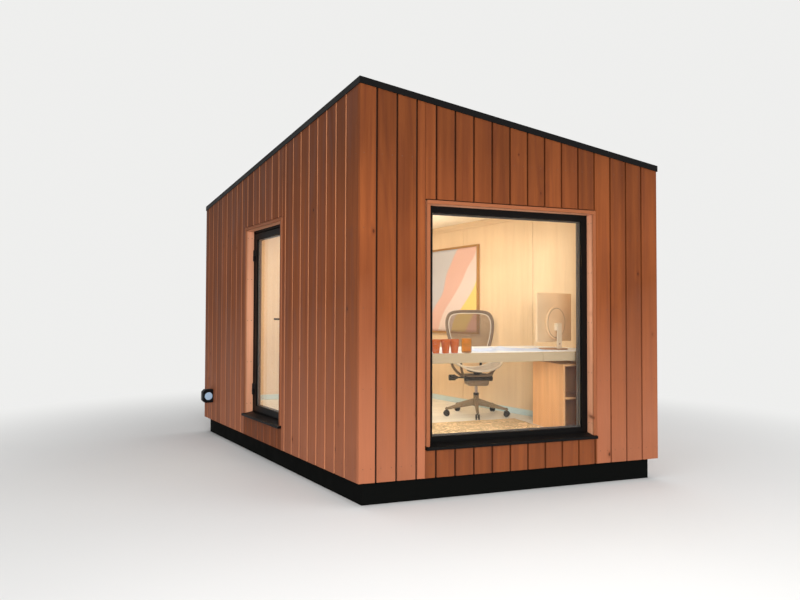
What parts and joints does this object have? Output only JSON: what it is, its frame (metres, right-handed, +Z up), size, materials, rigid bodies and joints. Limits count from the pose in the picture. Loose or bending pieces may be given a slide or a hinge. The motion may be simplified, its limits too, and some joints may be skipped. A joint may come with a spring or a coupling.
{
  "type": "garden office pod",
  "caption": "Timber-clad garden office pod with a parallelogram plan, a raised front corner, a large front window and a glazed side door.",
  "frame": {"origin": "middle of the plan, at ground level under the plinth", "axes": "+X along the front wall away from the raised corner, +Y from the front wall to the back wall, +Z up"},
  "size_m": [3.6128, 3.4756, 3.0938],
  "materials": {
    "cladding": "satin",
    "surround_timber": "satin",
    "plinth_black": "matt",
    "floor_timber": "matt",
    "floor_pale": "satin",
    "roof_membrane": "matt",
    "lining": "satin",
    "dark_metal": "satin",
    "black_metal": "satin",
    "handle_metal": "satin",
    "glass": "clear",
    "desk_white": "satin",
    "desk_rail": "satin",
    "cabinet_wood": "satin",
    "chair_plastic": "satin",
    "chair_mesh": "woven",
    "monitor_metal": "satin",
    "picture": "matt",
    "rug": "woven",
    "terracotta": "matt",
    "amber_glass": "clear",
    "light_body": "satin"
  },
  "bodies": {
    "pod": {"plinth": "plinth_black", "floor_deck": "floor_timber", "floor_finish": "floor_pale", "front_wall": "cladding", "left_wall_near": "cladding", "left_wall_far": "cladding", "left_wall_head": "cladding", "left_wall_sill": "cladding", "right_wall": "cladding", "back_wall": "cladding", "roof_front": "roof_membrane", "roof_rear": "roof_membrane", "ceiling_front": "lining", "ceiling_rear": "lining", "capping_front": "dark_metal", "capping_right": "dark_metal", "capping_back": "dark_metal", "capping_left": "dark_metal", "window_surround": "surround_timber", "window_sill": "black_metal", "window_frame": "black_metal", "window_glass": "glass", "door_surround": "surround_timber", "door_sill": "black_metal", "door_frame": "black_metal", "door_hinges": "handle_metal", "desk_top": "desk_white", "desk_rail": "desk_rail", "desk_cabinet": "cabinet_wood", "chair_base": "chair_plastic", "chair_mechanism": "chair_plastic", "chair_seat": "chair_mesh", "chair_back": "chair_mesh", "monitor": "monitor_metal", "picture": "picture", "rug": "rug", "pots": "terracotta", "tumbler": "amber_glass", "wall_light": "light_body"},
    "door": {"door_knuckles": "handle_metal", "door_leaf": "black_metal", "door_glass": "glass", "door_handle_outside": "handle_metal", "door_handle_inside": "handle_metal"}
  },
  "joints": [
    {"name": "door_hinge", "type": "hinge", "parent": "pod", "child": "door", "pos_m": [-1.35643, 0.43656, 1.26], "axis": [0, 0, -1], "range_deg": [0, 90]}
  ]
}
